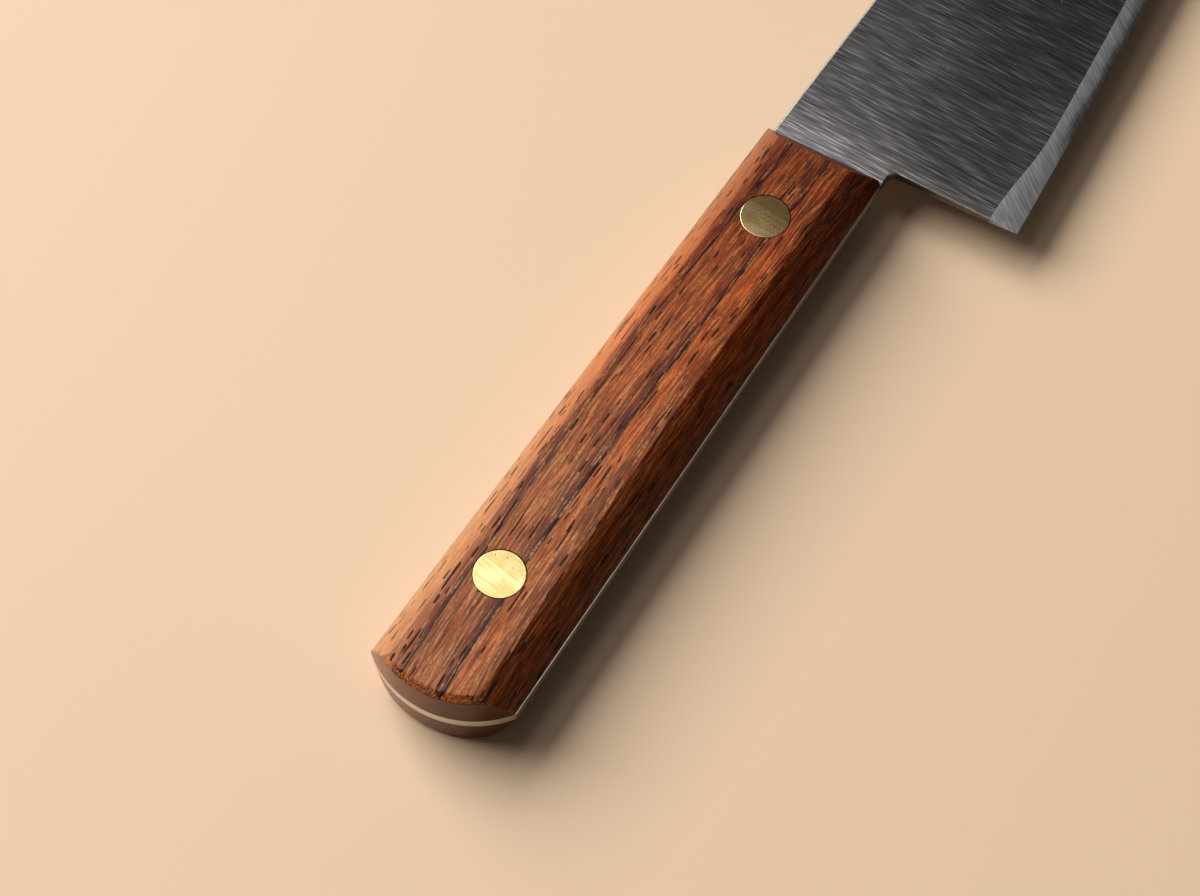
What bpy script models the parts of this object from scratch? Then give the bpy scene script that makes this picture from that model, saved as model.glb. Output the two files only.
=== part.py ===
"""Gyuto, a cook's knife with a full tang, two wooden scales and two two-part brass rivets.

The knife lies on its side, as on a table. The lower scale's outer flat is on z = 0, the blade points
along +X, the spine is towards +Y and the cutting edge towards -Y. The origin is on that flat, midway
between the two rivets. All sizes are in metres.
"""

import math

import bmesh
import bpy
from mathutils import Vector

# Handle, as seen from the side; the rivets are on y = 0
RIVET_SPACING = 0.0747
BUTT_BEHIND_RIVET = 0.0220
FRONT_AHEAD_OF_RIVET = 0.0187
SPINE_SIDE_AT_BUTT = 0.0107
SPINE_SIDE_AT_FRONT = 0.0105
EDGE_SIDE_AT_BUTT = 0.01298
EDGE_SIDE_AT_FRONT = 0.01075
BUTT_RADIUS = 0.0165
BUTT_RISE = 0.0006
FRONT_CORNER_RADIUS = 0.0014

# Handle, as seen from its end
TANG_THICKNESS = 0.0018
SCALE_THICKNESS = 0.0064
SIDE_INSET = 0.0043
SIDE_CROWN_RADIUS = 0.013
BUTT_LEAN = 0.0004
BUTT_CHAMFER = 0.0010
FRONT_SLOPE_RUN = 0.0044
FRONT_SLOPE_DROP = 0.0052

# Blade
BLADE_LENGTH = 0.180
HEEL_DEPTH = 0.0336
NECK_LENGTH = 0.0038
HEEL_LEAN = 0.0011
CHOIL_RADIUS = 0.0014
SPINE_AT_NECK = 0.0096
SPINE_SLOPE = 0.012
TIP_HEIGHT = -0.0040
SPINE_DROP_POWER = 4
EDGE_SLOPE = 0.068
BELLY_RISE = 0.0075
TIP_UPTURN_POWER = 5
BEVEL_WIDTH = 0.0031
HEEL_BEVEL_WIDTH = 0.0050
HEEL_BEVEL_RUN = 0.020
EDGE_LAND = 0.0002
GRIND_PER_LENGTH = 0.0030
GRIND_PER_DEPTH = 0.020

# Rivets
RIVET_HEAD_DIAMETER = 0.0080
RIVET_HEAD_THICKNESS = 0.0014
SLEEVE_DIAMETER = 0.0050
SHANK_DIAMETER = 0.0030
HEAD_FLOOR = 0.0006

# Clearance between pieces that touch
GAP = 0.0003

# Fineness of the round stretches
BUTT_STEPS = 22
CORNER_STEPS = 4
SIDE_STEPS = 3
BLADE_STEPS = 26
TURN_STEPS = 32

HANDLE_THICKNESS = 2 * SCALE_THICKNESS + TANG_THICKNESS
MID_PLANE = HANDLE_THICKNESS / 2
REAR_RIVET_X = -RIVET_SPACING / 2
FRONT_RIVET_X = RIVET_SPACING / 2
BUTT_X = REAR_RIVET_X - BUTT_BEHIND_RIVET
FRONT_X = FRONT_RIVET_X + FRONT_AHEAD_OF_RIVET
HANDLE_LENGTH = FRONT_X - BUTT_X
BUTT_CENTRE = Vector((BUTT_X + BUTT_RADIUS, BUTT_RISE))
HEEL_X = FRONT_X + NECK_LENGTH
HEEL_CORNER_X = HEEL_X + HEEL_LEAN
TIP_X = HEEL_CORNER_X + BLADE_LENGTH


def clear_scene():
    for thing in list(bpy.data.objects):
        bpy.data.objects.remove(thing, do_unlink=True)


def surface(name, colour, roughness, metallic):
    material = bpy.data.materials.new(name)
    material.use_nodes = True
    shader = material.node_tree.nodes["Principled BSDF"]
    shader.inputs["Base Color"].default_value = (*colour, 1.0)
    shader.inputs["Roughness"].default_value = roughness
    shader.inputs["Metallic"].default_value = metallic
    material.diffuse_color = (*colour, 1.0)
    return material


def add_object(name, bm, material, sharp_angle=30):
    bmesh.ops.recalc_face_normals(bm, faces=bm.faces)
    mesh = bpy.data.meshes.new(name)
    bm.to_mesh(mesh)
    bm.free()
    mesh.shade_smooth()
    mesh.set_sharp_from_angle(angle=math.radians(sharp_angle))
    thing = bpy.data.objects.new(name, mesh)
    bpy.context.scene.collection.objects.link(thing)
    if material:
        mesh.materials.append(material)
    return thing


def cut(thing, cutters):
    """Cuts the rivets' room out, then keeps the large flats flat to the eye."""
    for cutter in cutters:
        boolean = thing.modifiers.new("Cut " + cutter.name, "BOOLEAN")
        boolean.operation = "DIFFERENCE"
        boolean.solver = "EXACT"
        boolean.object = cutter
    normals = thing.modifiers.new("Flat faces", "WEIGHTED_NORMAL")
    normals.keep_sharp = True


def side_y(x, at_butt, at_front):
    """The handle's outline on one side, a straight line from the butt to the front."""
    return at_butt + (at_front - at_butt) * (x - BUTT_X) / HANDLE_LENGTH


def butt_arc():
    """Points round the butt, from the edge side's corner to the spine side's corner."""
    centre = BUTT_CENTRE

    def corner_angle(side, at_butt, at_front):
        low, high = 0.0, math.pi / 2
        for _ in range(40):
            angle = (low + high) / 2
            x = centre.x - BUTT_RADIUS * math.cos(angle)
            outside = BUTT_RADIUS * math.sin(angle) + side * centre.y > side_y(x, at_butt, at_front)
            low, high = (low, angle) if outside else (angle, high)
        return (low + high) / 2

    start = -corner_angle(-1, EDGE_SIDE_AT_BUTT, EDGE_SIDE_AT_FRONT)
    end = corner_angle(1, SPINE_SIDE_AT_BUTT, SPINE_SIDE_AT_FRONT)
    angles = [start + (end - start) * i / BUTT_STEPS for i in range(BUTT_STEPS + 1)]
    return [centre + BUTT_RADIUS * Vector((-math.cos(a), math.sin(a))) for a in angles]


def front_corner():
    """Points round the handle's front corner on the spine side, ending at the handle's front."""
    centre = Vector((FRONT_X - FRONT_CORNER_RADIUS, SPINE_SIDE_AT_FRONT - FRONT_CORNER_RADIUS))
    angles = [math.pi / 2 * (1 - i / CORNER_STEPS) for i in range(CORNER_STEPS + 1)]
    return [centre + FRONT_CORNER_RADIUS * Vector((math.cos(a), math.sin(a))) for a in angles]


def handle_outline():
    """The handle from its front corner on the edge side, round the butt, to the front."""
    return [Vector((FRONT_X, -EDGE_SIDE_AT_FRONT))] + butt_arc() + front_corner()


def side_profile():
    """The handle's crowned side, as (inset, depth) from the widest line up to the flat's border."""
    chord = Vector((SIDE_INSET, SCALE_THICKNESS))
    half_turn = math.asin(chord.length / 2 / SIDE_CROWN_RADIUS)
    tilt = math.atan2(chord.y, chord.x)
    points = []
    for i in range(SIDE_STEPS + 1):
        turn = tilt + half_turn - 2 * half_turn * i / SIDE_STEPS
        centre_to_point = SIDE_CROWN_RADIUS * Vector((-math.sin(turn), math.cos(turn)))
        points.append(centre_to_point)
    return [p - points[0] for p in points]


def cut_flat(bm, point, normal):
    """Cuts off what lies beyond a plane and closes the cut."""
    everything = bm.verts[:] + bm.edges[:] + bm.faces[:]
    bmesh.ops.bisect_plane(
        bm, geom=everything, dist=1e-7, plane_co=point, plane_no=normal, clear_outer=True
    )
    bmesh.ops.contextual_create(bm, geom=[e for e in bm.edges if e.is_boundary])


def scale_solid():
    """One scale with its inner face down on z = 0 and its outer flat up."""
    height = SCALE_THICKNESS - GAP
    bm = bmesh.new()
    floor = bm.faces.new([bm.verts.new((p.x, p.y, 0)) for p in handle_outline()])
    walls = bmesh.ops.extrude_face_region(bm, geom=[floor])
    raised = [v for v in walls["geom"] if isinstance(v, bmesh.types.BMVert)]
    bmesh.ops.translate(bm, verts=raised, vec=(0, 0, height))

    lean_rise = SCALE_THICKNESS - BUTT_CHAMFER
    arc = butt_arc()
    for a, b in zip(arc, arc[1:]):
        outward = ((a + b) / 2 - BUTT_CENTRE).normalized().to_3d()
        lean_foot = a.to_3d() - Vector((0, 0, GAP))
        chamfer_foot = lean_foot - BUTT_LEAN * outward + Vector((0, 0, lean_rise))
        cut_flat(bm, lean_foot, lean_rise * outward + Vector((0, 0, BUTT_LEAN)))
        cut_flat(bm, chamfer_foot, outward + Vector((0, 0, 1)))

    profile = side_profile()
    for side, at_butt, at_front in (
        (1, SPINE_SIDE_AT_BUTT, SPINE_SIDE_AT_FRONT),
        (-1, EDGE_SIDE_AT_BUTT, EDGE_SIDE_AT_FRONT),
    ):
        along = Vector((HANDLE_LENGTH, side * (at_front - at_butt), 0))
        for lower, upper in zip(profile, profile[1:]):
            up_the_side = Vector((0, side * (lower.x - upper.x), upper.y - lower.y))
            on_side = Vector((BUTT_X, side * (at_butt - lower.x), lower.y - GAP))
            cut_flat(bm, on_side, side * up_the_side.cross(along))

    slope_top = Vector((FRONT_X - FRONT_SLOPE_RUN, 0, height))
    cut_flat(bm, slope_top, (FRONT_SLOPE_DROP, 0, FRONT_SLOPE_RUN))
    return bm


def make_scales(wood, cutters):
    upper = scale_solid()
    bmesh.ops.translate(upper, verts=upper.verts, vec=(0, 0, MID_PLANE + TANG_THICKNESS / 2 + GAP))
    lower = scale_solid()
    bmesh.ops.scale(lower, verts=lower.verts, vec=(1, 1, -1))
    bmesh.ops.translate(lower, verts=lower.verts, vec=(0, 0, MID_PLANE - TANG_THICKNESS / 2 - GAP))
    for name, bm in (("upper_scale", upper), ("lower_scale", lower)):
        cut(add_object(name, bm, wood), cutters)


def spine_y(x):
    run = x - FRONT_X
    share = run / (TIP_X - FRONT_X)
    drop = SPINE_AT_NECK - SPINE_SLOPE * (TIP_X - FRONT_X) - TIP_HEIGHT
    return SPINE_AT_NECK - SPINE_SLOPE * run - drop * share**SPINE_DROP_POWER


def edge_y(x):
    run = x - HEEL_CORNER_X
    share = run / BLADE_LENGTH
    upturn = TIP_HEIGHT + HEEL_DEPTH - EDGE_SLOPE * BLADE_LENGTH - BELLY_RISE
    return -HEEL_DEPTH + EDGE_SLOPE * run + BELLY_RISE * share**2 + upturn * share**TIP_UPTURN_POWER


def bevel_width(x):
    """The bevel is widest at the heel and narrows within a short run; it closes at the tip."""
    share = min((x - HEEL_CORNER_X) / HEEL_BEVEL_RUN, 1)
    extra = (HEEL_BEVEL_WIDTH - BEVEL_WIDTH) * (1 + math.cos(math.pi * share)) / 2
    room = (spine_y(x) - edge_y(x)) / 2
    return min(BEVEL_WIDTH + extra, room)


def heel_x(y):
    """The heel's line leans forward towards the cutting edge."""
    neck_y = -EDGE_SIDE_AT_FRONT
    return HEEL_X + HEEL_LEAN * (neck_y - y) / (HEEL_DEPTH + neck_y)


def choil_arc():
    """The round between the neck and the heel, from the heel up to the neck."""
    corner = Vector((HEEL_X, -EDGE_SIDE_AT_FRONT))
    centre = corner + CHOIL_RADIUS * Vector((-1, -1))
    angles = [math.pi / 2 * i / CORNER_STEPS for i in range(CORNER_STEPS + 1)]
    return [centre + CHOIL_RADIUS * Vector((math.cos(a), math.sin(a))) for a in angles]


def half_thickness(x, y):
    """Flat over the tang and the spine side, then ground thinner towards the edge and the tip."""
    ground = TANG_THICKNESS / 2
    ground -= GRIND_PER_LENGTH * (x - FRONT_X)
    ground -= GRIND_PER_DEPTH * (-EDGE_SIDE_AT_FRONT - y)
    return min(TANG_THICKNESS / 2, ground)


def make_blade(steel, cutters):
    """The blade and the tang as one flat outline, given its thickness and its ground faces."""
    stations = [HEEL_CORNER_X + BLADE_LENGTH * i / BLADE_STEPS for i in range(1, BLADE_STEPS)]
    heel_bevel_y = -HEEL_DEPTH + bevel_width(HEEL_CORNER_X)
    bm = bmesh.new()

    def vertex(x, y):
        return bm.verts.new((x, y, 0))

    tip = vertex(TIP_X, TIP_HEIGHT)
    edge = [vertex(HEEL_CORNER_X, -HEEL_DEPTH)] + [vertex(x, edge_y(x)) for x in stations] + [tip]
    bevel_line = [vertex(heel_x(heel_bevel_y), heel_bevel_y)]
    bevel_line += [vertex(x, edge_y(x) + bevel_width(x)) for x in stations]
    choil = [vertex(p.x, p.y) for p in choil_arc()]
    handle = [vertex(p.x, p.y) for p in handle_outline()]
    neck_top = [vertex(FRONT_X, SPINE_AT_NECK)] if front_corner()[-1].y > SPINE_AT_NECK else []
    spine = [vertex(x, spine_y(x)) for x in stations]
    bm.faces.new(bevel_line[::-1] + choil + handle + neck_top + spine + [tip])
    for i in range(len(bevel_line) - 1):
        bm.faces.new((bevel_line[i], edge[i], edge[i + 1], bevel_line[i + 1]))
    bm.faces.new((bevel_line[-1], edge[-2], tip))

    neck_corner = (FRONT_X, -EDGE_SIDE_AT_FRONT, 0)
    across_neck = (1, 0, 0)
    across_grind_line = (GRIND_PER_LENGTH, -GRIND_PER_DEPTH, 0)
    for normal in (across_neck, across_grind_line):
        everything = bm.verts[:] + bm.edges[:] + bm.faces[:]
        bmesh.ops.bisect_plane(
            bm, geom=everything, dist=1e-7, plane_co=neck_corner, plane_no=normal
        )
    cutting_edge = {(round(v.co.x, 6), round(v.co.y, 6)) for v in edge}
    raised = bmesh.ops.extrude_face_region(bm, geom=bm.faces[:])
    upper = {v for v in raised["geom"] if isinstance(v, bmesh.types.BMVert)}
    for v in bm.verts:
        on_edge = (round(v.co.x, 6), round(v.co.y, 6)) in cutting_edge
        half = EDGE_LAND / 2 if on_edge else half_thickness(v.co.x, v.co.y)
        v.co.z = MID_PLANE + (half if v in upper else -half)
    cut(add_object("blade", bm, steel), cutters)


def turned(profile, x):
    """A (radius, height) profile that starts and ends at radius 0, turned about the upright axis at x."""
    bm = bmesh.new()
    verts = [bm.verts.new((r, 0, z)) for r, z in profile]
    edges = [bm.edges.new(pair) for pair in zip(verts, verts[1:])]
    bmesh.ops.spin(
        bm,
        geom=verts + edges,
        cent=(0, 0, 0),
        axis=(0, 0, 1),
        angle=2 * math.pi,
        steps=TURN_STEPS,
        use_merge=True,
    )
    bmesh.ops.remove_doubles(bm, verts=bm.verts, dist=1e-6)
    bmesh.ops.translate(bm, verts=bm.verts, vec=(x, 0, 0))
    return bm


HEAD_RADIUS = RIVET_HEAD_DIAMETER / 2
SLEEVE_RADIUS = SLEEVE_DIAMETER / 2
SHANK_RADIUS = SHANK_DIAMETER / 2
UPPER_HEAD_UNDERSIDE = HANDLE_THICKNESS - RIVET_HEAD_THICKNESS


def rivet_cutter(name, x):
    """The rivet's whole room: two head recesses joined by the hole for its hollow shank."""
    head = HEAD_RADIUS + GAP
    sleeve = SLEEVE_RADIUS + GAP
    beyond = RIVET_HEAD_THICKNESS
    room = [
        (0, -beyond),
        (head, -beyond),
        (head, RIVET_HEAD_THICKNESS + GAP),
        (sleeve, RIVET_HEAD_THICKNESS + GAP),
        (sleeve, UPPER_HEAD_UNDERSIDE - GAP),
        (head, UPPER_HEAD_UNDERSIDE - GAP),
        (head, HANDLE_THICKNESS + beyond),
        (0, HANDLE_THICKNESS + beyond),
    ]
    cutter = add_object(name, turned(room, x), None)
    cutter.hide_render = True
    cutter.display_type = "WIRE"
    return cutter


def make_rivet(place, x, brass):
    """A cutler's rivet: a solid shank pressed into a hollow one, a flush head on each."""
    sleeve_end = RIVET_HEAD_THICKNESS + GAP
    bore = SHANK_RADIUS + GAP
    bore_end = HANDLE_THICKNESS - HEAD_FLOOR
    female = [
        (0, HANDLE_THICKNESS),
        (HEAD_RADIUS, HANDLE_THICKNESS),
        (HEAD_RADIUS, UPPER_HEAD_UNDERSIDE),
        (SLEEVE_RADIUS, UPPER_HEAD_UNDERSIDE),
        (SLEEVE_RADIUS, sleeve_end),
        (bore, sleeve_end),
        (bore, bore_end),
        (0, bore_end),
    ]
    male = [
        (0, 0),
        (HEAD_RADIUS, 0),
        (HEAD_RADIUS, RIVET_HEAD_THICKNESS),
        (SHANK_RADIUS, RIVET_HEAD_THICKNESS),
        (SHANK_RADIUS, bore_end - GAP),
        (0, bore_end - GAP),
    ]
    add_object(place + "_rivet_female", turned(female, x), brass)
    add_object(place + "_rivet_male", turned(male, x), brass)


def main():
    clear_scene()
    wood = surface("oiled_rosewood", (0.25, 0.085, 0.03), 0.45, 0.0)
    steel = surface("ground_steel", (0.12, 0.12, 0.125), 0.35, 1.0)
    brass = surface("brass", (0.62, 0.42, 0.16), 0.3, 1.0)
    rivets = (("front", FRONT_RIVET_X), ("rear", REAR_RIVET_X))
    cutters = [rivet_cutter(place + "_rivet_room", x) for place, x in rivets]
    make_blade(steel, cutters)
    make_scales(wood, cutters)
    for place, x in rivets:
        make_rivet(place, x, brass)


main()
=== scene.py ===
import math

import bmesh
import bpy
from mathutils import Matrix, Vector


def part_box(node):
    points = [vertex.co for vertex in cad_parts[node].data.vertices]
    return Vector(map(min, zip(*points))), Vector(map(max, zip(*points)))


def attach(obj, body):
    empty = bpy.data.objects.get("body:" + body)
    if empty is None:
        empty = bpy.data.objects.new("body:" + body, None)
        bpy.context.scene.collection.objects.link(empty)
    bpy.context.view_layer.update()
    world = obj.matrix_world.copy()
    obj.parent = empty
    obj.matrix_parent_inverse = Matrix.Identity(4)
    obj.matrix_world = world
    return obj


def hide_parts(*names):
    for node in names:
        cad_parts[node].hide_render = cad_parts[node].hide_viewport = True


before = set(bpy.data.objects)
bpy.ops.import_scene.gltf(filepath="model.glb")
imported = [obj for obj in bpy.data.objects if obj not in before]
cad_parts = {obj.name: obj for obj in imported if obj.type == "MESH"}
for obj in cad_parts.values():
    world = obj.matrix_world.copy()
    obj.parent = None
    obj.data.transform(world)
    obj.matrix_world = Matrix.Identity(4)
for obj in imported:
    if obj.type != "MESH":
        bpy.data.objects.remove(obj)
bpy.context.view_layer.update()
scene = bpy.context.scene


# Blade and tang.
# One forging of carbon steel: the tang is as wide as the handle and runs to its end. The flats are
# ground across on a wheel, the cutting bevels are honed on stones, and the corners are eased by hand.

MM = 0.001

blade_low, blade_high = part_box("blade")
scale_low, scale_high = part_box("upper_scale")
REAR_RIVET_X = sum(corner.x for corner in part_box("rear_rivet_female")) / 2
FRONT_RIVET_X = sum(corner.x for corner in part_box("front_rivet_female")) / 2
BUTT_X = blade_low.x
FRONT_X = scale_high.x
TIP_X = blade_high.x
HANDLE_TOP = scale_high.z
MID_PLANE = HANDLE_TOP / 2
HALF_TANG = (blade_high.z - blade_low.z) / 2

SPINE_SIDE_AT_BUTT = 10.7 * MM
SPINE_SIDE_AT_FRONT = 10.5 * MM
EDGE_SIDE_AT_BUTT = 12.98 * MM
EDGE_SIDE_AT_FRONT = 10.75 * MM
BUTT_RADIUS = 16.5 * MM
BUTT_CENTRE = Vector((BUTT_X + BUTT_RADIUS, 0.6 * MM))
FRONT_CORNER_RADIUS = 1.4 * MM
SCALE_FRONT_AT_SPINE = FRONT_X - 0.75 * MM
SCALE_FRONT_AT_EDGE = FRONT_X + 0.3 * MM

HEEL_X = FRONT_X + 3.8 * MM
HEEL_CORNER_X = HEEL_X + 1.1 * MM
HEEL_Y = blade_low.y
CHOIL_RADIUS = 1.4 * MM
SPINE_AT_NECK = 9.6 * MM
SPINE_SLOPE = 0.012
TIP_Y = -4.0 * MM
BLADE_LENGTH = TIP_X - HEEL_CORNER_X
EDGE_SLOPE = 0.068
BELLY_RISE = 7.5 * MM
BEVEL_WIDTH = 3.1 * MM
HEEL_BEVEL_WIDTH = 5.0 * MM
HEEL_BEVEL_RUN = 20 * MM
EDGE_LAND = 0.04 * MM
GRIND_PER_LENGTH = 0.0030
GRIND_PER_DEPTH = 0.020
SPINE_EASE = 0.4 * MM
HEEL_EASE = 0.18 * MM
SHARP_TIP = 3 * MM
SPINE_GAP_AT_TIP = 2 * MM

BLADE_STATIONS = 90
TANG_BUTT_STEPS = 72
CORNER_STEPS = 10
CUT_TOLERANCE = 1e-7
SMOOTH_BELOW = math.radians(35)
GROUND, HONED, POLISHED, FILED_DARK = range(4)


def side_y(x, at_butt, at_front):
    """How far the handle's side is from its axis, given that at its two ends."""
    return at_butt + (at_front - at_butt) * (x - BUTT_X) / (FRONT_X - BUTT_X)


def arc(centre, radius, start, end, steps):
    """Points on an arc from one angle to another, in radians."""
    angles = [start + (end - start) * i / steps for i in range(steps + 1)]
    return [centre + radius * Vector((math.cos(a), math.sin(a))) for a in angles]


def corner_angle(side, at_butt, at_front):
    """Where the butt's arc meets the handle's side, as an angle from the handle's axis."""
    low, high = 0.0, math.pi / 2
    for _ in range(40):
        angle = (low + high) / 2
        x = BUTT_CENTRE.x - BUTT_RADIUS * math.cos(angle)
        y = BUTT_RADIUS * math.sin(angle) + side * BUTT_CENTRE.y
        low, high = (low, angle) if y > side_y(x, at_butt, at_front) else (angle, high)
    return low


def butt_arc(steps):
    """The rounded butt, from the edge side to the spine side."""
    start = math.pi + corner_angle(-1, EDGE_SIDE_AT_BUTT, EDGE_SIDE_AT_FRONT)
    end = math.pi - corner_angle(1, SPINE_SIDE_AT_BUTT, SPINE_SIDE_AT_FRONT)
    return arc(BUTT_CENTRE, BUTT_RADIUS, start, end, steps)


def handle_outline(butt_steps, front_at_edge, front_at_spine):
    """From the handle's front corner on the edge side, round the butt, to the front again."""
    corner = Vector((front_at_spine, SPINE_SIDE_AT_FRONT)) - Vector((1, 1)) * FRONT_CORNER_RADIUS
    front = arc(corner, FRONT_CORNER_RADIUS, math.pi / 2, 0, CORNER_STEPS)
    return [Vector((front_at_edge, -EDGE_SIDE_AT_FRONT))] + butt_arc(butt_steps) + front


def spine_y(x):
    """The spine: almost straight, with a drop that grows towards the tip."""
    run = x - FRONT_X
    length = TIP_X - FRONT_X
    drop = SPINE_AT_NECK - SPINE_SLOPE * length - TIP_Y
    return SPINE_AT_NECK - SPINE_SLOPE * run - drop * (run / length) ** 4


def edge_y(x):
    """The cutting edge: almost straight behind, with a belly that turns up to the tip."""
    run = x - HEEL_CORNER_X
    share = run / BLADE_LENGTH
    upturn = TIP_Y - HEEL_Y - EDGE_SLOPE * BLADE_LENGTH - BELLY_RISE
    return HEEL_Y + EDGE_SLOPE * run + BELLY_RISE * share**2 + upturn * share**5


def bevel_width(x):
    """The honed bevel's width, wider at the heel and narrowing with the blade at the tip."""
    share = min((x - HEEL_CORNER_X) / HEEL_BEVEL_RUN, 1)
    extra = (HEEL_BEVEL_WIDTH - BEVEL_WIDTH) * (1 + math.cos(math.pi * share)) / 2
    return min(BEVEL_WIDTH + extra, (spine_y(x) - edge_y(x)) / 2)


def half_thickness(x, y):
    """Full over the tang and along the spine, then ground thinner to the edge and to the tip."""
    ground = HALF_TANG - GRIND_PER_LENGTH * (x - FRONT_X)
    ground -= GRIND_PER_DEPTH * (-EDGE_SIDE_AT_FRONT - y)
    return min(HALF_TANG, ground)


def piece(name, bm, materials, nodes):
    """A finished piece that stands for its CAD node and rides on the knife."""
    mesh = bpy.data.meshes.new(name)
    bm.to_mesh(mesh)
    bm.free()
    for material in materials:
        mesh.materials.append(material)
    mesh.shade_smooth()
    mesh.set_sharp_from_angle(angle=SMOOTH_BELOW)
    made = bpy.data.objects.new(name, mesh)
    scene.collection.objects.link(made)
    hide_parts(*nodes)
    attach(made, "root")
    return made


def keep_flats_flat(made):
    """Keeps the shading of the large flats out of the narrow eased faces beside them."""
    normals = made.modifiers.new("Flat faces", "WEIGHTED_NORMAL")
    normals.keep_sharp = True


def blade_mesh():
    """The blade's plan, extruded to a slab and then thinned as it is ground and honed."""
    bm = bmesh.new()
    from_edge = bm.verts.layers.float.new("from_edge")
    stations = [HEEL_CORNER_X + BLADE_LENGTH * i / BLADE_STATIONS for i in range(1, BLADE_STATIONS)]
    edge = [bm.verts.new((x, edge_y(x), 0)) for x in [HEEL_CORNER_X, *stations]]
    tip = bm.verts.new((TIP_X, TIP_Y, 0))
    chain = [bm.edges.new(pair) for pair in zip(edge, [*edge[1:], tip])]

    bevel = bmesh.ops.extrude_edge_only(bm, edges=chain[:-1])
    raised = sorted((v for v in bevel["geom"] if isinstance(v, bmesh.types.BMVert)), key=lambda v: v.co.x)
    for v in raised:
        v.co.y += bevel_width(v.co.x)
        v[from_edge] = 1.0
    heel_lean = (HEEL_CORNER_X - HEEL_X) / (-EDGE_SIDE_AT_FRONT - HEEL_Y)
    raised[0].co.x -= heel_lean * (raised[0].co.y - HEEL_Y)
    bm.faces.new((raised[-1], edge[-1], tip))
    for face in bm.faces:
        face.material_index = HONED

    choil = arc(
        Vector((HEEL_X, -EDGE_SIDE_AT_FRONT)) - Vector((1, 1)) * CHOIL_RADIUS,
        CHOIL_RADIUS, 0, math.pi / 2, CORNER_STEPS,
    )
    handle = handle_outline(TANG_BUTT_STEPS, FRONT_X, SCALE_FRONT_AT_SPINE)
    tang = [p for p in handle if p.x < 0 or p.y < 0 or p.y > SPINE_AT_NECK]
    spine_end = TIP_X - SPINE_GAP_AT_TIP
    spine = [Vector((x, spine_y(x))) for x in [FRONT_X, *stations] if x < spine_end]
    plan = [bm.verts.new((p.x, p.y, 0)) for p in [*choil, *tang, *spine]]
    bm.faces.new([*reversed(raised), *plan, tip])
    neck_corner = (FRONT_X, -EDGE_SIDE_AT_FRONT, 0)
    for across_it in ((1, 0, 0), (GRIND_PER_LENGTH, -GRIND_PER_DEPTH, 0)):
        bmesh.ops.bisect_plane(
            bm, geom=bm.verts[:] + bm.edges[:] + bm.faces[:], dist=CUT_TOLERANCE,
            plane_co=neck_corner, plane_no=across_it,
        )

    at_edge = {tuple(round(c, 6) for c in v.co.xy) for v in [*edge, tip]}
    slab = bmesh.ops.extrude_face_region(bm, geom=bm.faces[:])
    upper = {v for v in slab["geom"] if isinstance(v, bmesh.types.BMVert)}
    for v in bm.verts:
        on_edge = tuple(round(c, 6) for c in v.co.xy) in at_edge
        half = EDGE_LAND / 2 if on_edge else half_thickness(v.co.x, v.co.y)
        v.co.z = MID_PLANE + (half if v in upper else -half)
    bmesh.ops.recalc_face_normals(bm, faces=bm.faces)

    # The spine is eased first, then the neck and the heel's back, which are sharper.
    for at_spine, ease in ((True, SPINE_EASE), (False, HEEL_EASE)):
        arrises = []
        for e in bm.edges:
            middle = (e.verts[0].co + e.verts[1].co) / 2
            tilts = sorted(abs(f.normal.z) for f in e.link_faces)
            honed = any(f.material_index == HONED for f in e.link_faces)
            on_blade = FRONT_X < middle.x < TIP_X - SHARP_TIP
            if tilts[0] < 0.3 and tilts[1] > 0.9 and not honed and on_blade:
                if (middle.y > 0 or middle.x > HEEL_CORNER_X) == at_spine:
                    arrises.append(e)
        eased = bmesh.ops.bevel(
            bm, geom=arrises, offset=ease, segments=4, profile=0.5, affect="EDGES", material=-1
        )
        for face in eased["faces"]:
            if at_spine or face.calc_center_median().y < HEEL_Y / 2:
                face.material_index = POLISHED
    for face in bm.faces:
        if face.calc_center_median().x < FRONT_X:
            face.material_index = POLISHED
        elif face.material_index == GROUND and abs(face.normal.z) < 0.4:
            face.material_index = FILED_DARK
    return bm


def linear(hex_colour):
    """An sRGB hex colour as the linear colour that a shader takes."""
    channels = [int(hex_colour[i : i + 2], 16) / 255 for i in (1, 3, 5)]
    return (*[c / 12.92 if c <= 0.04045 else ((c + 0.055) / 1.055) ** 2.4 for c in channels], 1.0)


def add(tree, kind, links=None, stops=(), **settings):
    """Adds a node. Settings are its options, stops a ramp's colours, and links give each input a
    value, a socket or another node, which stands for its first output in use."""
    made = tree.nodes.new("ShaderNode" + kind)
    for name, value in settings.items():
        setattr(made, name, value)
    for _ in stops[2:]:
        made.color_ramp.elements.new(0.5)
    for i, (place, hex_colour) in enumerate(stops):
        made.color_ramp.elements[i].position = place
        made.color_ramp.elements[i].color = linear(hex_colour)
    for key, value in (links or {}).items():
        if isinstance(value, bpy.types.Node):
            value = next(socket for socket in value.outputs if socket.enabled)
        if isinstance(value, bpy.types.NodeSocket):
            tree.links.new(value, made.inputs[key])
        else:
            made.inputs[key].default_value = value
    return made


def new_material(name, hex_colour, roughness, metallic=0.0):
    """A material with its tree and its shader, whose sockets hold the uniform values."""
    material = bpy.data.materials.new(name)
    material.use_nodes = True
    material.diffuse_color = linear(hex_colour)
    shader = material.node_tree.nodes["Principled BSDF"]
    shader.inputs["Base Color"].default_value = linear(hex_colour)
    shader.inputs["Roughness"].default_value = roughness
    shader.inputs["Metallic"].default_value = metallic
    return material, material.node_tree, shader


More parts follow.
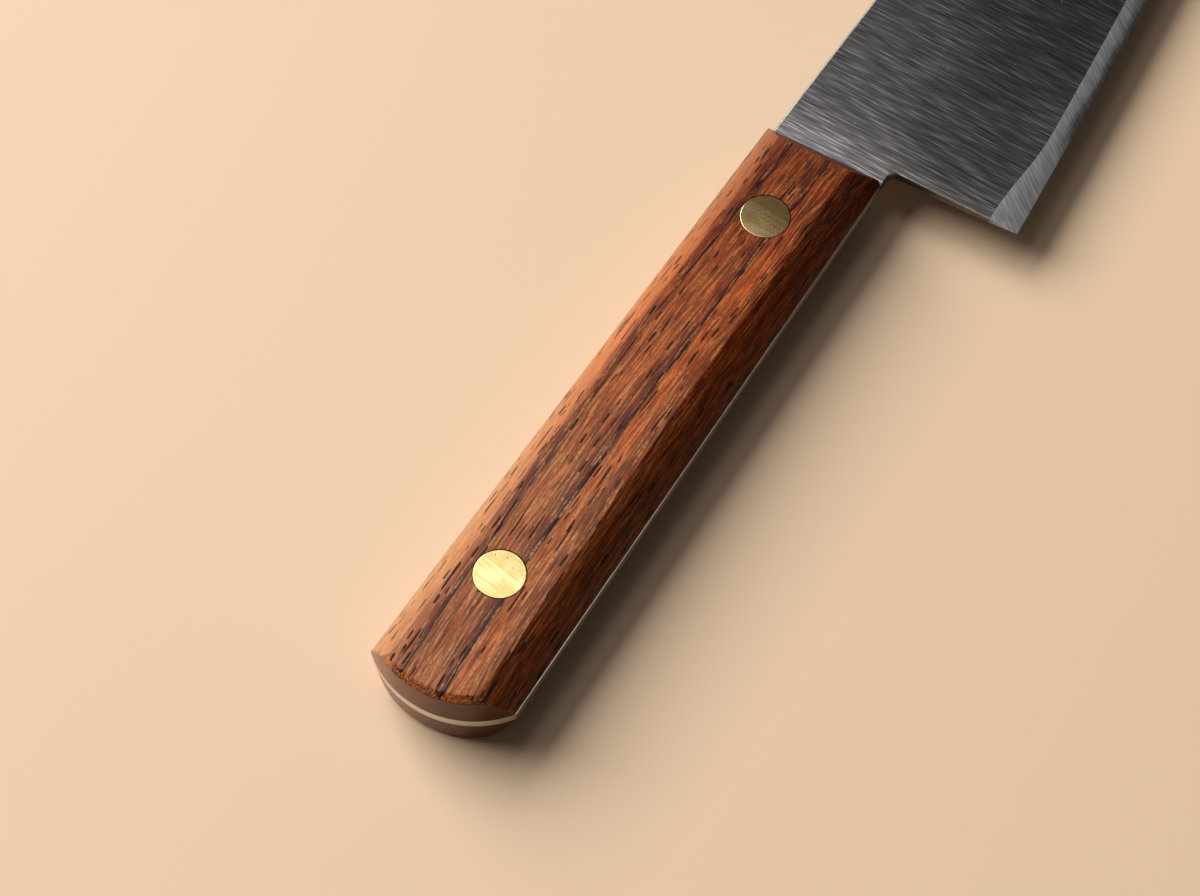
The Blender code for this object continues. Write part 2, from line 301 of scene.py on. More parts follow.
def drawn_out(tree, place, size, turn=0.0, **noise):
    """Noise stretched to a real size in metres along each axis, turned by an angle about Z."""
    turned = add(tree, "Mapping", {"Vector": place, "Rotation": (0, 0, turn)})
    sized = add(tree, "Mapping", {"Vector": turned, "Scale": tuple(1 / length for length in size)})
    links = {"Vector": sized, "Scale": 1.0, "Detail": 3.0, "Roughness": 0.6}
    return add(tree, "TexNoise", {**links, **noise})


def scratched(tree, place, width, length, turn):
    """Tapered scratches of uneven depth, one to each cell of this width and length, along Y but for
    a turn in degrees about Z."""
    turned = add(tree, "Mapping", {"Vector": place, "Rotation": (0, 0, math.radians(turn))})
    cells = add(tree, "Mapping", {"Vector": turned, "Scale": (1 / width, 1 / length, 1)})
    cell = add(
        tree, "TexVoronoi", {"Vector": cells, "Scale": 1.0}, voronoi_dimensions="2D", distance="MANHATTAN"
    )
    depth = add(tree, "SeparateColor", {"Color": cell.outputs["Color"]})
    inside = add(tree, "MapRange", {"Value": cell.outputs["Distance"], "From Min": 0.4, "From Max": 0.05})
    return add(tree, "Math", {0: inside, 1: depth}, operation="MULTIPLY")


def ground_steel():
    """Carbon steel ground across the blade: dark, with close straight lines, some of them darker or
    brighter, and bright specks where the wheel skipped. Its colour is painted brighter beside the
    handle, towards the spine and beside the bevel, and darker further along the blade, as painted
    reflection. The lines are drawn 0.15 mm wide, three times the real width."""
    material, tree, shader = new_material("carbon_steel_ground_across", "#77787C", 0.3, 1.0)
    place = add(tree, "TexCoord").outputs["Object"]
    axes = add(tree, "SeparateXYZ", {"Vector": place})
    close = drawn_out(tree, place, (0.34 * MM, 6 * MM, 2 * MM), Detail=0.0)
    colour = add(tree, "ValToRGB", {"Fac": close}, stops=[(0.3, "#6D6B6D"), (0.7, "#7F7D80")])
    for width, length, turn, hex_line in (
        (0.38 * MM, 17 * MM, 0.5, "#212021"), (0.34 * MM, 10 * MM, -0.6, "#262527"),
        (0.44 * MM, 13 * MM, 0.2, "#CDCBCD"), (0.38 * MM, 8 * MM, -0.3, "#BDBBBE"),
    ):
        line = scratched(tree, place, width, length, turn)
        colour = add(tree, "Mix", {0: line, 6: colour, 7: linear(hex_line)}, data_type="RGBA")
    # Painted reflection: the steel's colour is scaled brighter beside the handle, towards the spine and
    # beside the bevel, and darker further along the blade.
    painted_reflection = 0.92
    for axis, start, end, at_start, at_end in (
        ("X", FRONT_X + 3 * MM, FRONT_X + 7 * MM, 0.75, 0.0),
        ("X", FRONT_X + 3 * MM, FRONT_X + 15 * MM, 0.45, 0.0),
        ("X", FRONT_X + 22 * MM, FRONT_X + 45 * MM, 0.0, -0.18),
        ("Y", -16 * MM, -5 * MM, 0.0, 0.23),
        ("Y", -28 * MM, -23 * MM, 0.15, 0.0),
    ):
        share = add(
            tree, "MapRange",
            {"Value": axes.outputs[axis], "From Min": start, "From Max": end, "To Min": at_start,
             "To Max": at_end},
            interpolation_type="SMOOTHSTEP",
        )
        painted_reflection = add(tree, "Math", {0: painted_reflection, 1: share}, operation="ADD")
    colour = add(tree, "VectorMath", {0: colour, "Scale": painted_reflection}, operation="SCALE")
    cell = add(tree, "TexVoronoi", {"Vector": place, "Scale": 1 / (4 * MM)})
    specks = add(tree, "MapRange", {"Value": cell, "From Min": 0.035, "From Max": 0.02})
    colour = add(tree, "Mix", {0: specks, 6: colour, 7: linear("#F4F4F4")}, data_type="RGBA")
    tree.links.new(colour.outputs[2], shader.inputs["Base Color"])
    waves = drawn_out(tree, place, (1.2 * MM, 25 * MM, 4 * MM), Detail=0.0)
    bump = add(tree, "Bump", {"Height": waves, "Strength": 0.02, "Distance": 0.02 * MM})
    tree.links.new(bump.outputs["Normal"], shader.inputs["Normal"])
    return material


def honed_steel():
    """The cutting bevel: paler steel, rubbed slantwise on a coarse stone, whose scratches are drawn
    four times their real width. Away from the heel the strip along the edge has gone dark again."""
    material, tree, shader = new_material("carbon_steel_honed_bevel", "#BCBDC0", 0.4, 1.0)
    place = add(tree, "TexCoord").outputs["Object"]
    axes = add(tree, "SeparateXYZ", {"Vector": place})
    scratches = drawn_out(tree, place, (0.22 * MM, 4 * MM, 1 * MM), math.radians(38), Detail=0.0)
    colour = add(
        tree, "ValToRGB", {"Fac": scratches}, stops=[(0.3, "#A0A2A7"), (0.7, "#C6C8CE")]
    )
    from_edge = add(tree, "Attribute", attribute_name="from_edge")
    heel = add(
        tree, "MapRange",
        {"Value": axes.outputs["X"], "From Min": HEEL_X + 6 * MM, "From Max": HEEL_X + 26 * MM,
         "To Min": 0.7, "To Max": 0.0},
    )
    patina = drawn_out(tree, place, (9 * MM, 2 * MM, 2 * MM))
    kept = add(tree, "Math", {0: patina, 1: from_edge.outputs["Fac"]}, operation="ADD")
    kept = add(tree, "Math", {0: kept, 1: heel}, operation="ADD")
    kept = add(
        tree, "MapRange",
        {"Value": kept, "From Min": 0.55, "From Max": 1.1, "To Min": 0.35, "To Max": 1.0},
        interpolation_type="SMOOTHSTEP",
    )
    colour = add(tree, "VectorMath", {0: colour, "Scale": kept}, operation="SCALE")
    tree.links.new(colour.outputs["Vector"], shader.inputs["Base Color"])
    bump = add(tree, "Bump", {"Height": patina, "Strength": 0.3, "Distance": 0.05 * MM})
    tree.links.new(bump.outputs["Normal"], shader.inputs["Normal"])
    return material


def filed_steel(name, hex_dark, hex_light, roughness):
    """A narrow edge, draw-filed along its length."""
    material, tree, shader = new_material(name, hex_light, roughness, 1.0)
    place = add(tree, "TexCoord").outputs["Object"]
    lines = drawn_out(tree, place, (6 * MM, 6 * MM, 0.15 * MM))
    colour = add(tree, "ValToRGB", {"Fac": lines}, stops=[(0.3, hex_dark), (0.65, hex_light)])
    tree.links.new(colour.outputs["Color"], shader.inputs["Base Color"])
    bump = add(tree, "Bump", {"Height": lines, "Strength": 0.3, "Distance": 0.02 * MM})
    tree.links.new(bump.outputs["Normal"], shader.inputs["Normal"])
    return material


RIVET_HEAD_RADIUS = 4.0 * MM
RIVET_HEAD_THICKNESS = 1.4 * MM
SLEEVE_RADIUS = 2.5 * MM
SHANK_RADIUS = 1.5 * MM
HEAD_FLOOR = 0.6 * MM
SEAM = 0.1 * MM
RIVET_FACETS = 96
MERGE_DISTANCE = 1e-6


def turned(profile, x):
    """A (radius, height) profile that starts and ends on a rivet's axis, turned about it."""
    bm = bmesh.new()
    verts = [bm.verts.new((r, 0, z)) for r, z in profile]
    edges = [bm.edges.new(pair) for pair in zip(verts, verts[1:])]
    bmesh.ops.spin(
        bm, geom=verts + edges, cent=(0, 0, 0), axis=(0, 0, 1), angle=2 * math.pi,
        steps=RIVET_FACETS, use_merge=True,
    )
    bmesh.ops.remove_doubles(bm, verts=bm.verts, dist=MERGE_DISTANCE)
    bmesh.ops.translate(bm, verts=bm.verts, vec=(x, 0, 0))
    bmesh.ops.recalc_face_normals(bm, faces=bm.faces)
    return bm


def drill_for_rivets(made):
    """Cuts both rivets' holes and the recesses for their heads, then removes the drill."""
    head = RIVET_HEAD_RADIUS + SEAM
    sleeve = SLEEVE_RADIUS + SEAM
    recess = RIVET_HEAD_THICKNESS + SEAM
    beyond = 2 * MM
    profile = [
        (0, -beyond), (head, -beyond), (head, recess), (sleeve, recess),
        (sleeve, HANDLE_TOP - recess), (head, HANDLE_TOP - recess), (head, HANDLE_TOP + beyond),
        (0, HANDLE_TOP + beyond),
    ]
    drills = []
    for x in (REAR_RIVET_X, FRONT_RIVET_X):
        mesh = bpy.data.meshes.new("drill")
        turned(profile, x).to_mesh(mesh)
        drill = bpy.data.objects.new("drill", mesh)
        scene.collection.objects.link(drill)
        hole = made.modifiers.new("Hole", "BOOLEAN")
        hole.solver = "MANIFOLD"
        hole.operation = "DIFFERENCE"
        hole.object = drill
        drills.append(drill)
    bpy.context.view_layer.update()
    depsgraph = bpy.context.evaluated_depsgraph_get()
    drilled = bpy.data.meshes.new_from_object(
        made.evaluated_get(depsgraph), preserve_all_data_layers=True, depsgraph=depsgraph
    )
    made.modifiers.clear()
    solid, made.data = made.data, drilled
    bpy.data.meshes.remove(solid)
    for drill in drills:
        bpy.data.meshes.remove(drill.data)
    made.data.name = made.name


steels = [
    ground_steel(),
    honed_steel(),
    filed_steel("carbon_steel_tang_edge_polished", "#C4BFB6", "#E4E0D8", 0.27),
    filed_steel("carbon_steel_edge_filed_dark", "#4A4845", "#77746F", 0.45),
]
blade = piece("blade_and_tang", blade_mesh(), steels, ["blade"])
drill_for_rivets(blade)
keep_flats_flat(blade)


# Handle scales.
# Two slabs of open-pored rosewood glued and riveted to the tang, sawn from one board. Their sides are
# crowned by sanding, the butt is rounded and chamfered with a file, and the wood is oiled.

SIDE_INSET = 4.3 * MM
SIDE_CROWN_RADIUS = 13 * MM
SIDE_FACETS = 14
BUTT_LEAN = 0.4 * MM
BUTT_CHAMFER = 1.0 * MM
FRONT_SLOPE_RUN = 4.0 * MM
FRONT_SLOPE_DROP = 5.2 * MM
BUTT_FACETS = 48
BORDER_FACETS = 3
CHAMFER_ROUND = 0.35 * MM
SPINE_BORDER_ROUND = 0.8 * MM
EDGE_BORDER_ROUND = 1.6 * MM
FRONT_SLOPE_ROUND = 0.5 * MM
SCALE_EASE = 0.14 * MM
GLUE_LINE = 0.06 * MM
TANG_PROUD = 0.05 * MM
TANG_FACE = MID_PLANE + HALF_TANG
EASED_FROM = math.radians(20)


def side_profile():
    """The crowned side, as (inset, height) from the tang's face up to the flat's border."""
    chord = Vector((SIDE_INSET, HANDLE_TOP - TANG_FACE))
    half_turn = math.asin(chord.length / 2 / SIDE_CROWN_RADIUS)
    tilt = math.atan2(chord.y, chord.x)
    start = Vector((-math.sin(tilt + half_turn), math.cos(tilt + half_turn))) * SIDE_CROWN_RADIUS
    points = []
    for i in range(SIDE_FACETS + 1):
        turn = tilt + half_turn - 2 * half_turn * i / SIDE_FACETS
        points.append(Vector((-math.sin(turn), math.cos(turn))) * SIDE_CROWN_RADIUS - start)
    return points


def grind_flat(bm, point, normal):
    """Takes off what lies beyond a plane and closes the cut."""
    everything = bm.verts[:] + bm.edges[:] + bm.faces[:]
    bmesh.ops.bisect_plane(
        bm, geom=everything, dist=CUT_TOLERANCE, plane_co=point, plane_no=normal, clear_outer=True
    )
    bmesh.ops.contextual_create(bm, geom=[e for e in bm.edges if e.is_boundary])


def round_border(bm, point, below, above, radius):
    """Rounds the corner between two ground flats, given their normals, with narrow flats."""
    centre = point - radius * (below + above) / (1 + below.dot(above))
    for i in range(1, BORDER_FACETS + 1):
        normal = below.slerp(above, i / (BORDER_FACETS + 1))
        grind_flat(bm, centre + radius * normal, normal)


def scale_mesh():
    """The upper scale, in place on the tang."""
    bm = bmesh.new()
    seat = TANG_FACE + GLUE_LINE
    outline = handle_outline(BUTT_FACETS, SCALE_FRONT_AT_EDGE, SCALE_FRONT_AT_SPINE)
    floor = bm.faces.new([bm.verts.new((p.x, p.y, seat)) for p in outline])
    slab = bmesh.ops.extrude_face_region(bm, geom=[floor])
    raised = [v for v in slab["geom"] if isinstance(v, bmesh.types.BMVert)]
    bmesh.ops.translate(bm, verts=raised, vec=(0, 0, HANDLE_TOP - seat))
    up = Vector((0, 0, 1))

    lean_rise = HANDLE_TOP - TANG_FACE - BUTT_CHAMFER
    butt = butt_arc(BUTT_FACETS)
    for a, b in zip(butt, butt[1:]):
        outward = ((a + b) / 2 - BUTT_CENTRE).normalized().to_3d()
        wall = (lean_rise * outward + BUTT_LEAN * up).normalized()
        chamfer = (outward + up).normalized()
        lean_foot = Vector((a.x, a.y, TANG_FACE))
        chamfer_foot = lean_foot - BUTT_LEAN * outward + lean_rise * up
        chamfer_head = chamfer_foot + BUTT_CHAMFER * (up - outward)
        grind_flat(bm, lean_foot, wall)
        grind_flat(bm, chamfer_foot, chamfer)
        round_border(bm, chamfer_foot, wall, chamfer, CHAMFER_ROUND)
        round_border(bm, chamfer_head, chamfer, up, CHAMFER_ROUND)

    profile = side_profile()
    for side, at_butt, at_front, radius in (
        (1, SPINE_SIDE_AT_BUTT, SPINE_SIDE_AT_FRONT, SPINE_BORDER_ROUND),
        (-1, EDGE_SIDE_AT_BUTT - TANG_PROUD, EDGE_SIDE_AT_FRONT - TANG_PROUD, EDGE_BORDER_ROUND),
    ):
        along = Vector((FRONT_X - BUTT_X, side * (at_front - at_butt), 0))
        for lower, upper in zip(profile, profile[1:]):
            up_the_side = Vector((0, side * (lower.x - upper.x), upper.y - lower.y))
            on_side = Vector((BUTT_X, side * (at_butt - lower.x), TANG_FACE + lower.y))
            flank = (side * up_the_side.cross(along)).normalized()
            grind_flat(bm, on_side, flank)
        border = Vector((BUTT_X, side * (at_butt - SIDE_INSET), HANDLE_TOP))
        round_border(bm, border, flank, up, radius)

    skew = (SCALE_FRONT_AT_EDGE - SCALE_FRONT_AT_SPINE) / (EDGE_SIDE_AT_FRONT + SPINE_SIDE_AT_FRONT)
    front_middle = SCALE_FRONT_AT_SPINE + skew * SPINE_SIDE_AT_FRONT
    slope_head = Vector((front_middle - FRONT_SLOPE_RUN, 0, HANDLE_TOP))
    slope = Vector((FRONT_SLOPE_DROP, FRONT_SLOPE_DROP * skew, FRONT_SLOPE_RUN)).normalized()
    grind_flat(bm, slope_head, slope)
    round_border(bm, slope_head, slope, up, FRONT_SLOPE_ROUND)
    bmesh.ops.recalc_face_normals(bm, faces=bm.faces)

    corners = [
        e for e in bm.edges
        if e.calc_face_angle(0) > EASED_FROM
        and min(v.co.z for v in e.verts) > TANG_FACE + 2 * GLUE_LINE
    ]
    bmesh.ops.bevel(
        bm, geom=corners, offset=SCALE_EASE, segments=2, profile=0.5, affect="EDGES", material=-1
    )
    return bm


# The rings run along the handle in a slight arch, and lean as they go down into the wood. Their
# colours go by the distance in mm from the handle's middle towards the spine side. Besides the
# grain, they carry painted shade: they are darker towards the edge side, which faces away from the
# lamp.
GRAIN_ARCH = 0.56
RING_TILT = 0.22
RING_SPAN = (-14 * MM, 11 * MM)
RING_AND_PAINTED_SHADE_COLOURS = (
    (-13.0, "#5E2C16"), (-9.4, "#7E401C"), (-8.4, "#A0582C"), (-7.7, "#7C3419"), (-7.4, "#542018"),
    (-7.1, "#8C4822"), (-5.4, "#92502A"), (-4.6, "#B25E30"), (-2.2, "#AE5C2E"), (-2.05, "#1E0A08"),
    (-1.85, "#1E0A08"), (-1.6, "#5A2A22"), (-1.2, "#78392C"), (-0.6, "#8A4A2E"), (0.6, "#A65E38"),
    (2.6, "#A05632"), (4.3, "#A86036"), (4.75, "#8A4C2E"), (4.88, "#2A0F0A"), (5.02, "#2A0F0A"),
    (5.2, "#84422E"), (6.1, "#9C5234"), (6.7, "#C0764A"), (9.0, "#C88A5C"),
)
# The end grain's colours are painted shade: they darken from the spine side to the edge side.
END_GRAIN_PAINTED_SHADE_COLOURS = (
    (-9.8, "#583526"), (-6.4, "#663B2A"), (-3.0, "#6F4537"), (1.8, "#8B5943"), (4.7, "#8D604F"),
    (7.4, "#A8715A"), (10.0, "#A06F59"),
)
# How long and wide the rings' waves are, and how far they reach to both sides together.
SWAYS = ((45 * MM, 6 * MM, 1.8 * MM), (14 * MM, 1.6 * MM, 0.35 * MM))
# The length, width and reach that pores_along takes.
FLAT_PORES = ((5.0 * MM, 0.72 * MM, 0.18), (13 * MM, 0.8 * MM, 0.14))
SPINE_PORES = (4.0 * MM, 0.82 * MM, 0.2)
# The wood is painted lighter and greyer near the butt, as painted sheen, and darker towards the
# blade, as painted shade: from the middle of the butt half, at 0, to the blade, at 1.
PAINTED_SHEEN_TO_SHADE = (
    (0.11, "#FFFFFF"), (0.27, "#FFF2E2"), (0.43, "#FFE5C5"), (0.61, "#F4D1A8"), (0.91, "#C3A086"),
)


def pores_along(tree, grain, length, width, reach):
    """Open pores as dashes along the grain, in loose clumps: one to each cell of this length and
    width, its half length and half width being this share of the cell's. They are drawn wider than
    the real 0.1 to 0.2 mm, which a pixel would swallow."""
    cells = add(tree, "Mapping", {"Vector": grain, "Scale": (1 / length, 1 / width, 1 / width)})
    cell = add(
        tree, "TexVoronoi", {"Vector": cells, "Scale": 1.0, "Exponent": 4.0}, distance="MINKOWSKI"
    )
    chance = add(tree, "SeparateColor", {"Color": cell.outputs["Color"]})
    own_reach = add(
        tree, "MapRange", {"Value": chance, "To Min": 0.5 * reach, "To Max": 1.4 * reach}
    )
    inside = add(tree, "Math", {0: own_reach, 1: cell.outputs["Distance"]}, operation="SUBTRACT")
    inside = add(tree, "MapRange", {"Value": inside, "From Min": -0.02, "From Max": 0.02})
    clumps = drawn_out(tree, grain, (14 * MM, 1.6 * MM, 1.6 * MM), Detail=1.0)
    clumps = add(tree, "MapRange", {"Value": clumps, "From Min": 0.42, "From Max": 0.5})
    return add(tree, "Math", {0: inside, 1: clumps}, operation="MULTIPLY")


def rosewood(name, ground, ring_colours, figure, pore_depth, roughness):
    """Oiled rosewood: brown rings with violet borders, long silky fibres and open pores as dark
    dashes. Bundles of fibres are drawn 0.3 mm wide, because a single one is too fine to show. The
    figure is how far the tone swings, less on polished end grain."""
    material, tree, shader = new_material(name, ground, roughness)
    place = add(tree, "TexCoord").outputs["Object"]
    axes = add(tree, "SeparateXYZ", {"Vector": place})

    squared = add(tree, "Math", {0: axes.outputs["X"], 1: 2.0}, operation="POWER")
    across = add(
        tree, "Math", {0: squared, 1: GRAIN_ARCH, 2: axes.outputs["Y"]}, operation="MULTIPLY_ADD"
    )
    height = add(tree, "Math", {0: axes.outputs["Z"], 1: HANDLE_TOP}, operation="SUBTRACT")
    across = add(tree, "Math", {0: height, 1: RING_TILT, 2: across}, operation="MULTIPLY_ADD")
    for length, width, reach in SWAYS:
        noise = drawn_out(tree, place, (length, width, width))
        sway = add(tree, "MapRange", {"Value": noise, "To Min": -reach / 2, "To Max": reach / 2})
        across = add(tree, "Math", {0: across, 1: sway}, operation="ADD")
    grain = add(tree, "CombineXYZ", {"X": axes.outputs["X"], "Y": across, "Z": axes.outputs["Z"]})

    low, high = RING_SPAN
    ring = add(tree, "MapRange", {"Value": across, "From Min": low, "From Max": high})
    rings = [((place_mm * MM - low) / (high - low), colour) for place_mm, colour in ring_colours]
    wood = add(tree, "ValToRGB", {"Fac": ring}, stops=rings)

    on_spine_side = add(tree, "MapRange", {"Value": across, "From Min": 5.6 * MM, "From Max": 6.4 * MM})
    along = add(
        tree, "MapRange", {"Value": axes.outputs["X"], "From Min": BUTT_X / 2, "From Max": FRONT_X}
    )
    lively = add(tree, "MapRange", {"Value": along, "From Min": 0.6, "To Min": 1.0, "To Max": 1.6})
    for value, start, end, at_start, at_end in (
        (across, -8.8 * MM, -6.6 * MM, 1.2, 1.0), (on_spine_side, 0.0, 1.0, 1.0, 0.4),
    ):
        share = add(
            tree, "MapRange",
            {"Value": value, "From Min": start, "From Max": end, "To Min": at_start, "To Max": at_end},
        )
        lively = add(tree, "Math", {0: lively, 1: share}, operation="MULTIPLY")
    # This mask thins the light tan and silk towards the edge side, which is painted shade, and lowers the
    # oil's sheen there.
    painted_shade_and_oil = add(
        tree, "MapRange",
        {"Value": across, "From Min": -8.8 * MM, "From Max": -6.6 * MM, "To Min": 0.2, "To Max": 1.0},
    )
    streaks = drawn_out(tree, grain, (32 * MM, 0.9 * MM, 1.2 * MM))
    fibres = drawn_out(tree, grain, (4 * MM, 0.28 * MM, 0.3 * MM), Detail=0.0)
    specks = drawn_out(tree, grain, (0.6 * MM, 0.28 * MM, 0.3 * MM), Detail=0.0)
    tone = 0.0
    for layer, swing in ((streaks, 0.75), (fibres, 1.8), (specks, 0.7)):
        centred = add(tree, "Math", {0: layer, 1: 0.52}, operation="SUBTRACT")
        tone = add(tree, "Math", {0: centred, 1: swing * figure, 2: tone}, operation="MULTIPLY_ADD")
    tone = add(tree, "Math", {0: tone, 1: lively}, operation="MULTIPLY")
    tone = add(tree, "Math", {0: tone}, operation="EXPONENT")
    wood = add(tree, "VectorMath", {0: wood, "Scale": tone}, operation="SCALE")
    tan = add(tree, "MapRange", {"Value": tone, "From Min": 1.0, "From Max": 1.8, "To Max": 0.5})
    tan = add(tree, "Math", {0: tan, 1: painted_shade_and_oil}, operation="MULTIPLY")
    wood = add(tree, "Mix", {0: tan, 6: wood, 7: linear("#C08850")}, data_type="RGBA")

    silk = drawn_out(tree, grain, (5 * MM, 0.32 * MM, 0.35 * MM), Detail=0.0)
    silk = add(
        tree, "MapRange", {"Value": silk, "From Min": 0.6, "From Max": 0.7, "To Max": 0.6 * figure}
    )
    beads = drawn_out(tree, grain, (0.5 * MM, 0.4 * MM, 0.4 * MM), Detail=0.0)
    beads = add(tree, "MapRange", {"Value": beads, "From Min": 0.4, "From Max": 0.6, "To Min": 0.3})
    for part in (beads, painted_shade_and_oil, lively):
        silk = add(tree, "Math", {0: silk, 1: part}, operation="MULTIPLY")
    wood = add(tree, "Mix", {0: silk, 6: wood, 7: linear("#DCA870")}, data_type="RGBA")

    veins = drawn_out(tree, grain, (8 * MM, 0.36 * MM, 0.4 * MM), Detail=0.0)
    veins = add(
        tree, "MapRange", {"Value": veins, "From Min": 0.62, "From Max": 0.7, "To Max": 0.4 * figure}
    )
    veins = add(tree, "Math", {0: veins, 1: lively}, operation="MULTIPLY")
    wood = add(tree, "Mix", {0: veins, 6: wood, 7: linear("#2A120C")}, data_type="RGBA")

    pores = add(
        tree, "Math", {0: pores_along(tree, grain, *SPINE_PORES), 1: on_spine_side}, operation="MULTIPLY"
    )
    for sizes in FLAT_PORES:
        pores = add(tree, "Math", {0: pores, 1: pores_along(tree, grain, *sizes)}, operation="MAXIMUM")
    dark = add(tree, "Math", {0: pores, 1: pore_depth}, operation="MULTIPLY")
    wood = add(tree, "Mix", {0: dark, 6: wood, 7: linear("#1A0B07")}, data_type="RGBA")
    # Painted sheen near the butt and painted shade towards the blade.
    painted_sheen_and_shade = add(tree, "ValToRGB", {"Fac": along}, stops=PAINTED_SHEEN_TO_SHADE)
    wood = add(tree, "Mix", {0: 1.0, 6: wood, 7: painted_sheen_and_shade}, data_type="RGBA", blend_type="MULTIPLY")
    tree.links.new(wood.outputs[2], shader.inputs["Base Color"])

    relief = add(tree, "Math", {0: dark, 1: -1.0}, operation="MULTIPLY")
    for layer, height in ((fibres, 0.35 * figure), (silk, 0.2)):
        relief = add(tree, "Math", {0: layer, 1: height, 2: relief}, operation="MULTIPLY_ADD")
    bump = add(tree, "Bump", {"Height": relief, "Strength": 0.7, "Distance": 0.1 * MM})
    tree.links.new(bump.outputs["Normal"], shader.inputs["Normal"])
    gloss = add(tree, "Math", {0: dark, 1: 0.35, 2: roughness}, operation="MULTIPLY_ADD")
    tree.links.new(gloss.outputs[0], shader.inputs["Roughness"])
    oil = add(tree, "Math", {0: painted_shade_and_oil, 1: 0.24}, operation="MULTIPLY")
    tree.links.new(oil.outputs[0], shader.inputs["Specular IOR Level"])
    return material


woods = [
    rosewood("rosewood_sanded_and_oiled", "#9C5C34", RING_AND_PAINTED_SHADE_COLOURS, 1.0, 0.95, 0.33),
    rosewood("rosewood_end_grain_polished", "#805644", END_GRAIN_PAINTED_SHADE_COLOURS, 0.12, 0.2, 0.3),
]
END_GRAIN = 1
upper_mesh = scale_mesh()
for face in upper_mesh.faces:
    if abs(face.normal.x) > 0.6 and abs(face.normal.z) < 0.68:
        face.material_index = END_GRAIN
lower_mesh = upper_mesh.copy()
bmesh.ops.scale(lower_mesh, verts=lower_mesh.verts, vec=(1, 1, -1))
bmesh.ops.translate(lower_mesh, verts=lower_mesh.verts, vec=(0, 0, HANDLE_TOP))
bmesh.ops.reverse_faces(lower_mesh, faces=lower_mesh.faces)
for name, bm, node in (
    ("upper_wooden_scale", upper_mesh, "upper_scale"),
    ("lower_wooden_scale", lower_mesh, "lower_scale"),
):
    made = piece(name, bm, woods, [node])
    drill_for_rivets(made)
    keep_flats_flat(made)


# Cutler's rivets.
# Turned brass, in two halves each: a solid shank pressed into a hollow one through the tang. The heads
# sit flush in the scales and were sanded together with the wood.

RIM_EASE = 0.14 * MM


def brass():
    """Sanded brass: a dull pale yellow with scratches across, drawn several times their real width,
    a faint stain and a few pits."""
    material, tree, shader = new_material("brass_sanded_flush", "#DDBE7C", 0.19, 1.0)
    place = add(tree, "TexCoord").outputs["Object"]
    scratches = drawn_out(tree, place, (0.4 * MM, 7 * MM, 1 * MM), math.radians(4), Detail=0.0)
    stain = drawn_out(tree, place, (3 * MM, 3 * MM, 3 * MM), Detail=1.0)
    both = add(tree, "Math", {0: scratches, 1: stain}, operation="ADD")
    tone = add(tree, "MapRange", {"Value": both, "From Min": 0.7, "From Max": 1.3})
    colour = add(
        tree, "ValToRGB", {"Fac": tone}, stops=[(0.2, "#CBAA70"), (0.5, "#D9B880"), (0.8, "#DFC18E")]
    )
    cell = add(tree, "TexVoronoi", {"Vector": place, "Scale": 1 / (1.3 * MM)})
    pits = add(tree, "MapRange", {"Value": cell, "From Min": 0.1, "From Max": 0.06})
    colour = add(tree, "Mix", {0: pits, 6: colour, 7: linear("#5A3F1C")}, data_type="RGBA")
    tree.links.new(colour.outputs[2], shader.inputs["Base Color"])
    bump = add(tree, "Bump", {"Height": stain, "Strength": 0.1, "Distance": 0.05 * MM})
    tree.links.new(bump.outputs["Normal"], shader.inputs["Normal"])
    return material


def eased_head(face, inner):
    """The head's outline from its axis, over the eased rim, to its inner side, at these heights."""
    step = RIM_EASE if inner > face else -RIM_EASE
    return [
        (0, face),
        (RIVET_HEAD_RADIUS - RIM_EASE, face),
        (RIVET_HEAD_RADIUS - 0.3 * RIM_EASE, face + 0.3 * step),
        (RIVET_HEAD_RADIUS, face + step),
        (RIVET_HEAD_RADIUS, inner),
    ]


rivet_brass = brass()
bore = SHANK_RADIUS + SEAM
bore_end = HANDLE_TOP - HEAD_FLOOR
sleeve_end = RIVET_HEAD_THICKNESS + SEAM
female = eased_head(HANDLE_TOP, HANDLE_TOP - RIVET_HEAD_THICKNESS) + [
    (SLEEVE_RADIUS, HANDLE_TOP - RIVET_HEAD_THICKNESS), (SLEEVE_RADIUS, sleeve_end),
    (bore, sleeve_end), (bore, bore_end), (0, bore_end),
]
male = eased_head(0, RIVET_HEAD_THICKNESS) + [
    (SHANK_RADIUS, RIVET_HEAD_THICKNESS), (SHANK_RADIUS, bore_end - SEAM), (0, bore_end - SEAM),
]
for place, x in (("front", FRONT_RIVET_X), ("rear", REAR_RIVET_X)):
    for half, profile in (("female", female), ("male", male)):
        made = piece(
            f"{place}_rivet_{half}_half", turned(profile, x), [rivet_brass],
            [f"{place}_rivet_{half}"],
        )
        keep_flats_flat(made)


# Table top.
# A plain pale surface, wide enough to run out of every view; the knife lies on it.

FLOOR_RADIUS = 4.0

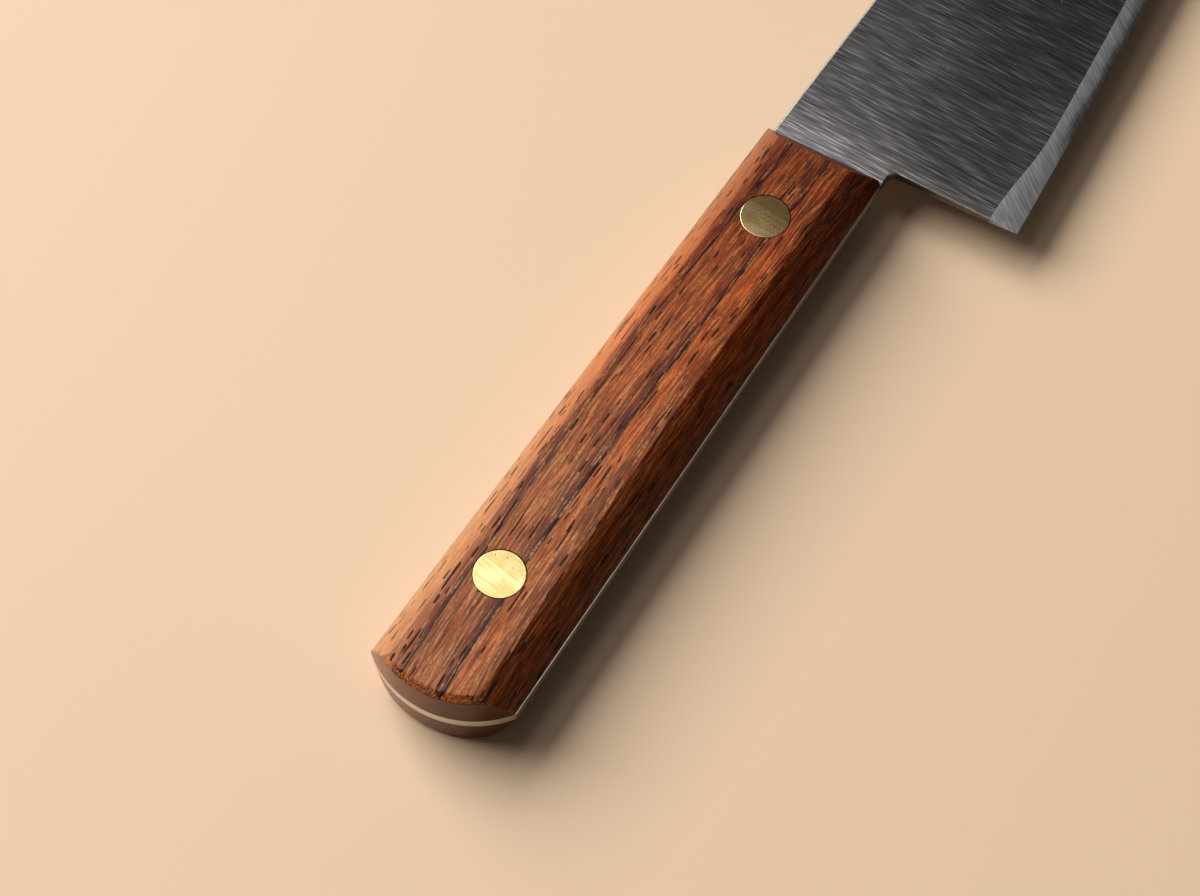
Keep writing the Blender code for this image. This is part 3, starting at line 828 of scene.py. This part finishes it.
floor_bm = bmesh.new()
bmesh.ops.create_circle(floor_bm, cap_ends=True, radius=FLOOR_RADIUS, segments=64)
floor_mesh = bpy.data.meshes.new("pale_floor")
floor_bm.to_mesh(floor_mesh)
floor_bm.free()
floor = bpy.data.objects.new("pale_floor", floor_mesh)
scene.collection.objects.link(floor)
floor_paint, _, _ = new_material("pale_floor_paint", "#F5D7B6", 0.6)
floor_mesh.materials.append(floor_paint)


# Light.
# A large soft panel beyond the spine, a small reflector above the blade's side for the brass heads,
# and a dim even room.

LAMP_DISTANCE = 2.2


def from_compass(azimuth, elevation):
    """A lamp's place, from its azimuth and elevation in degrees."""
    a, e = math.radians(azimuth), math.radians(elevation)
    toward = Vector((math.cos(a) * math.cos(e), math.sin(a) * math.cos(e), math.sin(e)))
    return LAMP_DISTANCE * toward


for name, size, azimuth, elevation, energy in (
    ("soft_panel", (2.05, 1.5), 86, 42, 66),
    ("small_reflector", (0.65, 0.65), 46, 69, 3.0),
):
    lamp = bpy.data.lights.new(name, "AREA")
    lamp.shape = "RECTANGLE"
    lamp.size, lamp.size_y = size
    lamp.energy = energy
    lamp.color = (1.0, 0.97, 0.93)
    panel = bpy.data.objects.new(name, lamp)
    scene.collection.objects.link(panel)
    panel.location = from_compass(azimuth, elevation)
    panel.rotation_euler = (-panel.location).to_track_quat("-Z", "Y").to_euler()
    panel.visible_camera = False

room = bpy.data.worlds.new("dim_room")
room.use_nodes = True
background = room.node_tree.nodes["Background"]
background.inputs["Color"].default_value = (1.0, 0.95, 0.88, 1.0)
background.inputs["Strength"].default_value = 0.06
scene.world = room


# Camera.
# Over the butt, looking along the handle and down at it, with the blade running out of the frame.

CAMERA_PLACE = (-0.16722, -0.10278, 0.36689)
CAMERA_AZIMUTH = math.radians(33.24)
CAMERA_DIP = math.radians(62.175)
CAMERA_LENS_MM = 79.1

camera_data = bpy.data.cameras.new("camera")
camera_data.lens = CAMERA_LENS_MM
camera_data.sensor_width = 36
camera_data.clip_start = 0.01
camera = bpy.data.objects.new("camera", camera_data)
scene.collection.objects.link(camera)
scene.camera = camera
camera.location = CAMERA_PLACE
camera.rotation_euler = (math.pi / 2 - CAMERA_DIP, 0, CAMERA_AZIMUTH - math.pi / 2)

scene.view_settings.view_transform = "Standard"
